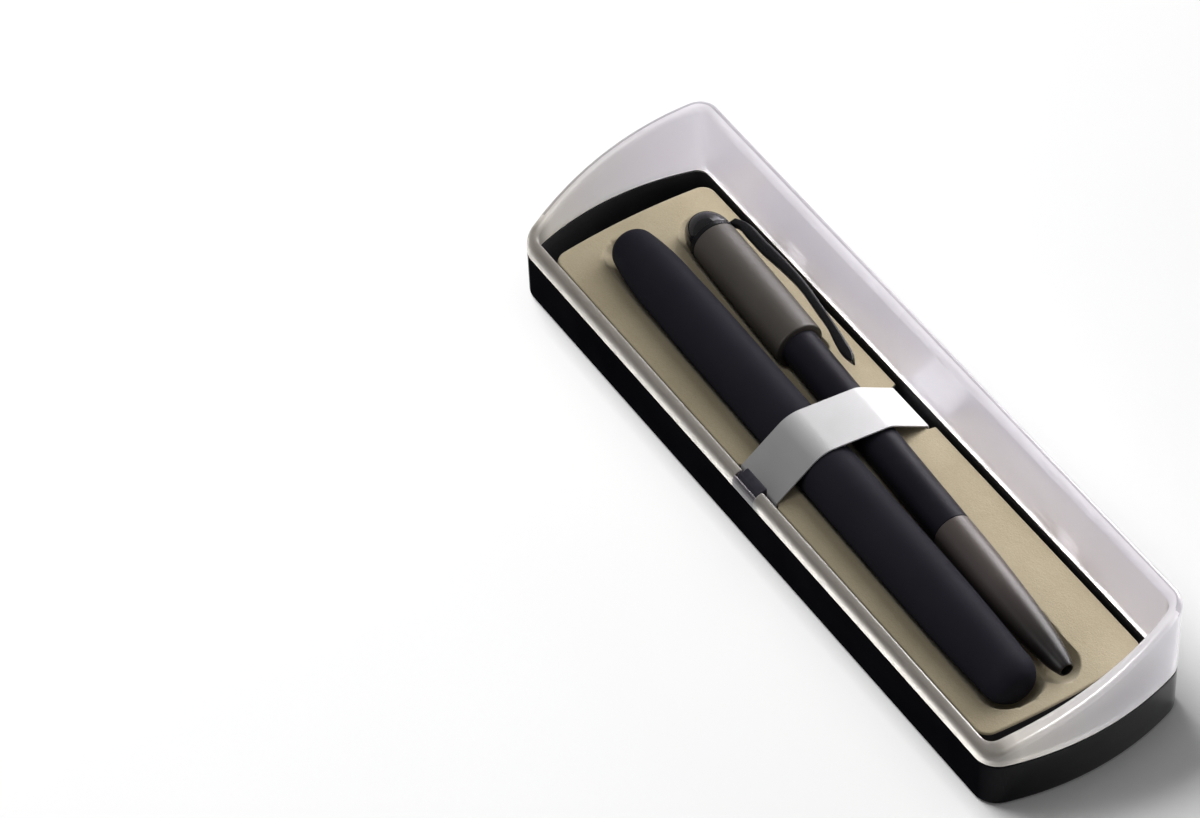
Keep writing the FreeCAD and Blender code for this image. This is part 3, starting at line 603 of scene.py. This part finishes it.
# ---------------------------------------------------------------- catch tongue
def catch_piece():
    front, back = -HW + LIP_SKIN + 0.2, -18.75
    head = prism_x([(front, 11.35), (back, 11.35), (back, rim_z(back) - 0.75), (back - 0.55, rim_z(back - 0.55) - 0.55),
                    (front + 0.5, rim_z(front + 0.5) - 0.25), (front, rim_z(front) - 0.7)], -3.25, 3.25, 0.22, 4)
    leaf = prism_x([(-19.45, 2.35), (-18.75, 2.35), (-18.75, 11.5), (-19.45, 11.5)], -3.25, 3.25, 0.1, 2)
    n = 20
    rod = prism_x([(-19.1 + 0.5 * math.cos(2 * math.pi * i / n), 3.3 + 0.5 * math.sin(2 * math.pi * i / n)) for i in range(n)], -4.45, 4.45, 0.08, 2)
    v, f = join(head, leaf, rod)
    return fix_normals(new_piece("catch_tongue_skin", v, f, 40.0))


catch = dress(catch_piece(), M_CATCH, "catch", "catch_tongue")


# -------------------------------------------------------------- flocked insert
def profile_radius(profile):
    p = np.array(dense(profile, 0.3))
    return lambda u: np.interp(u, p[:, 0], p[:, 1], left=0.0, right=0.0)


ROOM, ENDS = 0.35, 2.0
_a, _b, _r = RB["half"] + ENDS, RB["half"] + ENDS, RB["r"] + ROOM
RB_ENDS = (-_a, _b)
RB_GROOVE = profile_radius([(-_a, 0.0), ("arc", (-_a + 1.3, 4.3), (-_a + 5.0, 5.75)), ("arc", (-_a + 14, _r - 0.12), (-_a + 26, _r)),
                            (_b - 7, _r), ("arc", (_b - 1.7, _r - 1.5), (_b, 0.0))])
_f, _b, _j, _r1, _r2 = BP["far"] - ENDS, BP["tip"] + ENDS, BP["joint"] + ENDS, BP["r"] + ROOM, BP["low"] + ROOM
BP_ENDS = (_f, _b)
BP_GROOVE = profile_radius([(_f, 0.0), ("arc", (_f + 1.4, 3.4), (_f + 5.4, _r1 - 0.15)), (_f + 12, _r1), (_j, _r1), (_j + 1.2, _r2),
                            (_b - 8, _r2), ("arc", (_b - 1.7, _r2 - 1.6), (_b, 0.0))])


def smin(a, b, k):
    h = np.clip(0.5 + 0.5 * (b - a) / k, 0.0, 1.0)
    return b * (1 - h) + a * h - k * h * (1 - h)


def groove_z(x, y, pen, rad, ends):
    cx, cy, cz = pen["c"]
    yaw = math.atan2(pen["slope"], 1.0)
    dx, dy = x - cx, y - cy
    u, v = dx * math.cos(yaw) + dy * math.sin(yaw), -dx * math.sin(yaw) + dy * math.cos(yaw)
    uc = np.clip(u, ends[0] + 0.02, ends[1] - 0.02)
    r = rad(uc)
    # outside the groove the wall goes on upwards, so that the blend stays smooth
    d = np.hypot(u - uc, np.maximum(np.abs(v) - r, 0.0))
    return np.where(d > 0, cz + np.minimum(d * 3.0, 30.0), cz - np.sqrt(np.maximum(r * r - v * v, 0.0)))


def tray_piece():
    ns, nt_ = 420, 190
    cx, yc = TRAY_L - TRAY_END_R, TRAY_W - TRAY_CORNER
    xc = cx + math.sqrt((TRAY_END_R - TRAY_CORNER) ** 2 - yc ** 2)
    th = math.atan2(yc, xc - cx)
    y_arc = TRAY_END_R * math.sin(th)

    def half_x(y):
        y = np.abs(y)
        return np.where(y <= y_arc, cx + np.sqrt(np.maximum(TRAY_END_R ** 2 - y ** 2, 0)),
                        xc + np.sqrt(np.maximum(TRAY_CORNER ** 2 - (y - yc) ** 2, 0)))

    t = np.linspace(-1, 1, nt_)
    t = np.sign(t) * (1 - (1 - np.abs(t)) ** 1.25)
    s = np.linspace(-1, 1, ns)
    s = np.sign(s) * (1 - (1 - np.abs(s)) ** 1.15)
    S, T = np.meshgrid(s, t, indexing="ij")
    hx = half_x(T * TRAY_W)
    LX = S * hx
    X = LX + TRAY_MX
    # both sides are set in under the strap
    reb = np.clip((6.4 + 0.3 - np.abs(X - STRAP_X)) / 0.3, 0, 1)
    W = TRAY_W - np.where(T > 0, TRAY_W + TRAY_MY - STRAP_EDGE, TRAY_W - TRAY_MY - STRAP_EDGE) * reb * reb * (3 - 2 * reb)
    LY = T * W
    Y = LY + TRAY_MY
    # distance to the outline for the rounded edge
    d = np.minimum(W - np.abs(LY), (hx - np.abs(LX)) * 0.98)
    corner = (np.abs(LY) > yc) & (np.abs(LX) > xc)
    dc = TRAY_CORNER - np.hypot(np.abs(LX) - xc, np.abs(LY) - yc)
    d = np.where(corner, np.minimum(d, dc), d)
    d = np.maximum(d, 0)
    re = 0.45
    Z = np.where(d < re, TRAY_TOP - (re - np.sqrt(np.maximum(re * re - (re - d) ** 2, 0))), TRAY_TOP)
    # broad soft shoulder towards the front pen, a tighter one behind the other pen
    g1, g2 = groove_z(X, Y, RB, RB_GROOVE, RB_ENDS), groove_z(X, Y, BP, BP_GROOVE, BP_ENDS)
    g = smin(g1, g2, 4.0)
    side = np.clip((Y + 2.0) / 8.0, 0, 1)
    k = 4.2 + (1.6 - 4.2) * side * side * (3 - 2 * side)
    Z = smin(Z, g, k)
    verts = np.stack([X, Y, Z], -1).reshape(-1, 3).tolist()
    faces = []
    for i in range(ns - 1):
        for j in range(nt_ - 1):
            a = i * nt_ + j
            faces.append((a, a + nt_, a + nt_ + 1, a + 1))
    global TRAY_TOP_FACES
    TRAY_TOP_FACES = len(faces)
    # border loop, then the side walls and the closing underside
    loop = [i * nt_ for i in range(ns)] + [(ns - 1) * nt_ + j for j in range(1, nt_)] + \
           [i * nt_ + nt_ - 1 for i in range(ns - 2, -1, -1)] + [j for j in range(nt_ - 2, 0, -1)]
    ring = [verts[k] for k in loop]
    m = len(loop)

    def add_ring(inset, z):
        o = len(verts)
        for x, y, _ in ring:
            verts.append((x - math.copysign(inset * min(1, abs(x) / 60.0), x), y - math.copysign(inset * min(1, abs(y) / 12.0), y), z))
        return list(range(o, o + m))

    rows = [loop, add_ring(0.0, 6.0), add_ring(0.0, TRAY_FOOT + 0.3), add_ring(0.25, TRAY_FOOT), add_ring(1.15, TRAY_FOOT), add_ring(1.15, 3.6)]
    for a, b in zip(rows[:-1], rows[1:]):
        for i in range(m):
            k = (i + 1) % m
            faces.append((a[i], b[i], b[k], a[k]))
    faces.append(tuple(rows[-1]))
    return fix_normals(new_piece("insert_flock_tray", verts, faces, 50.0))


tray = dress(tray_piece(), M_FLOCK, "insert", "insert_tray")
tray.data.materials.append(M_INNER)
for q in tray.data.polygons:                  # the top takes the flock; the side walls and underside take the lighter inner black
    if q.index >= TRAY_TOP_FACES:
        q.material_index = 1


# ------------------------------------------------------------------ pen strap
def strap_path(extra):
    """Cross-section of the strap's underside plus extra, front to back, as (y, z) points."""
    rb_y = RB["c"][1] + RB["slope"] * (STRAP_X - RB["c"][0])
    bp_y = BP["c"][1] + BP["slope"] * (STRAP_X - BP["c"][0])
    r1, r2 = RB["r"] + 0.27 + extra, BP["low"] + 0.45 + extra
    c1, c2 = (rb_y, RB["c"][2]), (bp_y, BP["c"][2])
    ey, ez = STRAP_EDGE + 0.05, TRAY_TOP + 0.05
    rc = 0.06 + extra
    f, b = (-(ey - 0.06), ez - 0.06), (ey - 0.06, ez - 0.06)

    def ext(ca, ra, cb, rb_):
        dx, dy = cb[0] - ca[0], cb[1] - ca[1]
        t = math.atan2(dy, dx) + math.acos((ra - rb_) / math.hypot(dx, dy))
        return t

    t1, t2, t3 = ext(f, rc, c1, r1), ext(c1, r1, c2, r2), ext(c2, r2, b, rc)
    p = [(f[0] - rc, 4.2 + (f[1] - 4.2) * i / 8.0) for i in range(8)]
    p += arc(f[0], f[1], rc, math.pi, t1, 9)
    p += arc(c1[0], c1[1], r1, t1, t2, 40)
    p += arc(c2[0], c2[1], r2, t2, t3, 30)
    p += arc(b[0], b[1], rc, t3, 0.0, 9)
    p += [(b[0] + rc, b[1] - (b[1] - 4.2) * i / 8.0) for i in range(1, 9)]
    # even spacing along the band
    q = np.array(p)
    s = np.r_[0, np.cumsum(np.linalg.norm(np.diff(q, axis=0), axis=1))]
    n = 150
    e = np.linspace(0, s[-1], n)
    return np.stack([np.interp(e, s, q[:, 0]), np.interp(e, s, q[:, 1])], -1), s[-1]


def strap_piece():
    lo, _ = strap_path(0.03)
    hi, length = strap_path(0.40)
    nx = 25
    xs = np.linspace(-STRAP_W / 2, STRAP_W / 2, nx)
    n = len(lo)

    def sheet_rows(p, inset):
        rows = []
        for k in range(n):
            row = []
            for x in xs:
                w = STRAP_X + x * (STRAP_W / 2 - inset) / (STRAP_W / 2)
                row.append((w, p[k, 0], p[k, 1]))
            rows.append(row)
        return rows

    mid = (lo + hi) / 2
    top, bot = sheet_rows(hi, 0.07), sheet_rows(lo, 0.07)
    rings = []
    for k in range(n):
        e0 = (STRAP_X - STRAP_W / 2, mid[k, 0], mid[k, 1])
        e1 = (STRAP_X + STRAP_W / 2, mid[k, 0], mid[k, 1])
        rings.append(bot[k] + [e1] + top[k][::-1] + [e0])
    v, f = loft(rings, True, False, True, True)
    ob = fix_normals(new_piece("pen_strap_band", v, f, 60.0))
    return ob, length


strap, strap_len = strap_piece()
dress(strap, M_STRAP, "insert", "pen_strap")

# ------------------------------------------------------------------ rollerball
h = RB["half"]
rbr = RB["r"]
rj = RB["joint"]


def turned_piece(name, profile, pen, step=0.5, seg=112, sharp=32.0):
    v, f = lathe(dense(profile, step), seg)
    return fix_normals(new_piece(name, to_box(v, pen), f, sharp))


rb_cap = turned_piece("rollerball_cap_skin", [
    (-h, 0.0), (-h, 1.6), ("arc", (-h + 1.0, 3.65), (-h + 3.2, 4.75)), ("arc", (-h + 8.5, 5.5), (-h + 17, 5.85)),
    ("arc", (-h + 25, 6.0), (-h + 34, rbr)), (rj - 0.3, rbr), ("arc", (rj - 0.09, rbr - 0.09), (rj, rbr - 0.3)),
    (rj, 5.25), (-h + 24, 5.1), (-h + 14, 4.7), (-h + 5.5, 4.1), (-h + 3.5, 2.2), (-h + 2.8, 0.0)], RB)
dress(rb_cap, M_MATTE, "rollerball_cap", "rollerball_cap")

bj = rj + 0.2
rb_barrel = turned_piece("rollerball_barrel_skin", [
    (bj, 4.6), (bj, rbr - 0.3), ("arc", (bj + 0.09, rbr - 0.09), (bj + 0.3, rbr)), (h - 34, rbr),
    ("arc", (h - 17, 5.86), (h - 5.0, 5.44)), ("arc", (h - 2.1, 4.9), (h - 0.7, 3.85)), ("arc", (h - 0.16, 2.65), (h, 1.4)), (h, 0.0),
    (h - 4.0, 0.0), (h - 4.0, 3.4), (bj + 9, 3.4), (bj + 9, 4.6), (bj, 4.6)], RB)
dress(rb_barrel, M_MATTE, "rollerball", "rollerball_barrel")

# ------------------------------------------------------------------- ballpoint
cr = BP["far"] + 6.4
F0 = BP["far"]
crown = turned_piece("ballpoint_crown_skin", [
    (F0, 0.0), (F0 + 0.02, 0.5), ("arc", (F0 + 0.9, 2.6), (F0 + 3.0, 4.2)), ("arc", (F0 + 4.6, 4.72), (cr - 0.15, 4.85)), (cr, 4.75), (cr, 3.0),
    (cr + 3.0, 3.0), (cr + 3.0, 0.0)], BP)
dress(crown, M_LACQ, "ballpoint_upper", "ballpoint_crown")

up0 = cr + 1.2
bj2 = BP["joint"]
upper = turned_piece("ballpoint_upper_skin", [
    (up0, 3.02), (up0, 4.75), ("arc", (up0 + 0.05, 4.87), (up0 + 0.2, 4.92)), ("arc", (up0 + 12, 5.1), (up0 + 26, BP["r"])), (bj2 - 0.4, BP["r"]),
    ("arc", (bj2 - 0.1, BP["r"] - 0.1), (bj2, BP["r"] - 0.35)), (bj2, 3.45), (up0 + 2.2, 3.45), (up0 + 2.2, 3.02), (up0, 3.02)], BP)
dress(upper, M_TAUPE, "ballpoint_upper", "ballpoint_upper_barrel")


def clip_piece():
    ring = lathe(dense([(cr + 0.05, 3.02), (cr + 0.05, 4.85), (cr + 0.15, 4.95), (cr + 1.05, 4.95), (cr + 1.15, 4.85), (cr + 1.15, 3.02), (cr + 0.05, 3.02)], 0.2), 96)
    inn = np.array([(0.2, 4.4), (1.6, 5.25), (5.0, 5.5), (9.5, 5.7), (18, 6.65), (22, 6.95), (30, 6.55), (35, 6.2), (38.5, 5.5), (41.5, 5.15), (44.5, 5.5)])
    out = np.array([(0.2, 6.3), (2.0, 7.2), (9.0, 8.0), (16, 8.6), (22, 8.75), (30, 8.35), (36, 7.9), (40, 7.5), (43.5, 6.9), (44.9, 6.3)])
    us = np.concatenate([np.linspace(0.2, 3, 8), np.linspace(3.6, 43.6, 60), [44.1, 44.5, 44.75]])

    def smooth(p, u):
        # monotone cubic through the points
        x, y = p[:, 0], p[:, 1]
        m = np.gradient(y, x)
        i = np.clip(np.searchsorted(x, u) - 1, 0, len(x) - 2)
        hh = x[i + 1] - x[i]
        t = np.clip((u - x[i]) / hh, 0, 1)
        return (y[i] * (1 + 2 * t) * (1 - t) ** 2 + m[i] * hh * t * (1 - t) ** 2 + y[i + 1] * t * t * (3 - 2 * t) + m[i + 1] * hh * t * t * (t - 1))

    rings = []
    for u in us:
        a, b = float(smooth(inn, u)), float(smooth(out, u))
        if u > 43.0:
            k = min(1.0, (u - 43.0) / 1.9)
            mid_ = (a + b) / 2
            sh = math.sqrt(max(0.0, 1 - k * k)) * 0.85 + 0.15
            a, b = mid_ + (a - mid_) * sh, mid_ + (b - mid_) * sh
        lo_, hi_ = -0.5, 1.5
        cy, cz, hy, hz = (a + b) / 2, (lo_ + hi_) / 2, (b - a) / 2, (hi_ - lo_) / 2
        row = []
        for i in range(24):
            t = 2 * math.pi * i / 24
            c, s_ = math.cos(t), math.sin(t)
            e = 0.5
            row.append((cr + u, cy + hy * math.copysign(abs(c) ** e, c), cz + hz * math.copysign(abs(s_) ** e, s_)))
        rings.append(row)
    arm = loft(rings, True, False, True, True)
    v, f = join(ring, arm)
    v = np.array(v, float)
    c, s_ = math.cos(CLIP_TURN), math.sin(CLIP_TURN)
    y, z = v[:, 1] * c - v[:, 2] * s_, v[:, 1] * s_ + v[:, 2] * c
    v[:, 1], v[:, 2] = y, z
    return fix_normals(new_piece("ballpoint_clip_skin", to_box(v, BP), f, 40.0))


clip = dress(clip_piece(), M_CLIP, "ballpoint_upper", "ballpoint_clip")

lj = bj2 + 0.2
low = BP["low"]
N0, T0 = BP["nose"], BP["tip"]
lower = turned_piece("ballpoint_lower_skin", [
    (bj2 - 8.0, 2.2), (bj2 - 8.0, 3.38), (lj, 3.38), (lj, low - 0.05), (N0 - 0.15, low), (N0 - 0.05, low - 0.1), (N0 - 0.05, 3.2), (N0 - 6.0, 3.2),
    (N0 - 6.0, 2.2), (bj2 - 8.0, 2.2)], BP)
dress(lower, M_SATIN, "ballpoint_lower", "ballpoint_lower_barrel")

nose = turned_piece("ballpoint_nose_skin", [
    (N0, 3.17), (N0, low - 0.1), (N0 + 0.1, low), ("arc", (N0 + 14, 3.98), (N0 + 26, 3.5)), ("arc", (N0 + 31.4, 3.05), (N0 + 35.2, 2.5)),
    ("arc", (N0 + 37.6, 1.98), (T0 - 0.15, 1.52)), (T0, 1.4), (T0, 1.2), (T0 - 6.0, 1.2), (T0 - 6.0, 1.9), (N0 - 5.8, 1.9), (N0 - 5.8, 3.17), (N0, 3.17)], BP)
dress(nose, M_GUN, "ballpoint_lower", "ballpoint_nose_cone")

# ------------------------------------------ pieces carried over from the frame
for node, material in (("hinge_pins", M_PIN), ("insert_board", M_BOARD), ("strap_staples", M_PIN), ("rollerball_cap_liner", M_PALE),
                       ("rollerball_grip_section", M_MOULD), ("rollerball_refill", M_PALE), ("ballpoint_twist_cam", M_MOULD),
                       ("ballpoint_refill", M_BRASS)):
    o = NODES[node]
    o.data.materials.clear()
    o.data.materials.append(material)

# ----------------------------------------------------------------------- stage
def floor_piece():
    n, size = 24, 3000.0
    v, f = [], []
    for i in range(n + 1):
        for j in range(n + 1):
            v.append((-size + 2 * size * i / n, -size + 2 * size * j / n, -0.02))
    for i in range(n):
        for j in range(n):
            a = i * (n + 1) + j
            f.append((a, a + n + 1, a + n + 2, a + 1))
    return new_piece("stage_floor", v, f, None, False)


floor = floor_piece()
floor.data.materials.append(floor_pale())


def area(name, loc, target, size, power, color=(1, 1, 1), size_y=None):
    li = bpy.data.lights.new(name, "AREA")
    li.shape = "RECTANGLE"
    li.size = size
    li.size_y = size_y or size
    li.energy = power
    li.color = color
    ob = bpy.data.objects.new(name, li)
    bpy.context.scene.collection.objects.link(ob)
    loc, target = Vector(loc), Vector(target)
    ob.location = loc
    ob.rotation_euler = (target - loc).to_track_quat("-Z", "Y").to_euler()
    return ob


key = area("key_far", (-0.26, 0.80, 0.66), (0, 0, 0), 0.55, 10.5, (1.0, 0.99, 0.97))
top = area("top_soft", (0.02, -0.16, 0.90), (0.02, 0, 0), 0.35, 1.2, (1.0, 0.98, 0.95))
low_back = area("back_low", (-0.1, 0.80, 0.20), (0, 0, 0.01), 0.7, 4.0, (0.99, 0.98, 1.0), 0.25)
glint = area("rim_glint", (0.06, -0.25, 0.94), (0.06, 0, 0.02), 0.34, 5.5, (1.0, 0.99, 0.97))
wash = area("floor_wash", (-1.00, -0.24, 1.24), (0.0, 0.0, 0.0), 1.1, 31.0)
fill = area("pen_fill", (0.05, -0.80, 0.55), (0.0, 0.0, 0.01), 0.5, 4.0)
side = area("cheek_side", (0.80, 0.55, 0.09), (0.08, 0.0, 0.02), 0.3, 1.5, size_y=0.1)


def group(name, members, state):
    """Collection for linking lights to pieces."""
    c = bpy.data.collections.new(name)
    for o in members:
        c.objects.link(o)
    for q in c.collection_objects:
        q.light_linking.link_state = state
    return c


# the lamps that model the box leave the floor to its own wash and shine through the milky hood
not_floor, through_hood = group("not_floor", [floor], "EXCLUDE"), group("through_hood", [hood], "EXCLUDE")
for lamp in (key, top, low_back):
    lamp.light_linking.receiver_collection = not_floor
    lamp.light_linking.blocker_collection = through_hood
wash.light_linking.receiver_collection = group("floor_only", [floor], "INCLUDE")
hood_only = group("hood_only", [hood], "INCLUDE")
glint.light_linking.receiver_collection = hood_only
side.light_linking.receiver_collection = hood_only
fill.light_linking.receiver_collection = group("pens_and_catch", [rb_cap, rb_barrel, crown, upper, clip, lower, nose, catch], "INCLUDE")
fill.light_linking.blocker_collection = through_hood

world = bpy.data.worlds.new("studio")
bpy.context.scene.world = world
world.use_nodes = True
bg = world.node_tree.nodes["Background"]
bg.inputs["Color"].default_value = (1.0, 1.0, 1.0, 1.0)
bg.inputs["Strength"].default_value = 0.22

# ---------------------------------------------------------------------- camera
az, el, roll, dist = math.radians(59.47), math.radians(47.94), math.radians(-2.87), 0.97793
target = Vector((-0.04297, -0.02882, 0.0))
back = Vector((math.sin(az) * math.cos(el), -math.cos(az) * math.cos(el), math.sin(el)))
fwd = -back
right = fwd.cross(Vector((0, 0, 1))).normalized()
up = right.cross(fwd)
R = math.cos(roll) * right + math.sin(roll) * up
U = -math.sin(roll) * right + math.cos(roll) * up
cam_data = bpy.data.cameras.new("view")
cam_data.lens = 150.0
cam_data.sensor_fit = "HORIZONTAL"
cam_data.sensor_width = 36.0
cam_data.clip_start = 0.01
cam_data.clip_end = 50.0
cam = bpy.data.objects.new("view", cam_data)
bpy.context.scene.collection.objects.link(cam)
pos = target + back * dist
cam.matrix_world = Matrix(((R.x, U.x, back.x, pos.x), (R.y, U.y, back.y, pos.y), (R.z, U.z, back.z, pos.z), (0, 0, 0, 1)))
bpy.context.scene.camera = cam
bpy.context.scene.view_settings.view_transform = "Standard"
bpy.context.scene.view_settings.look = "None"
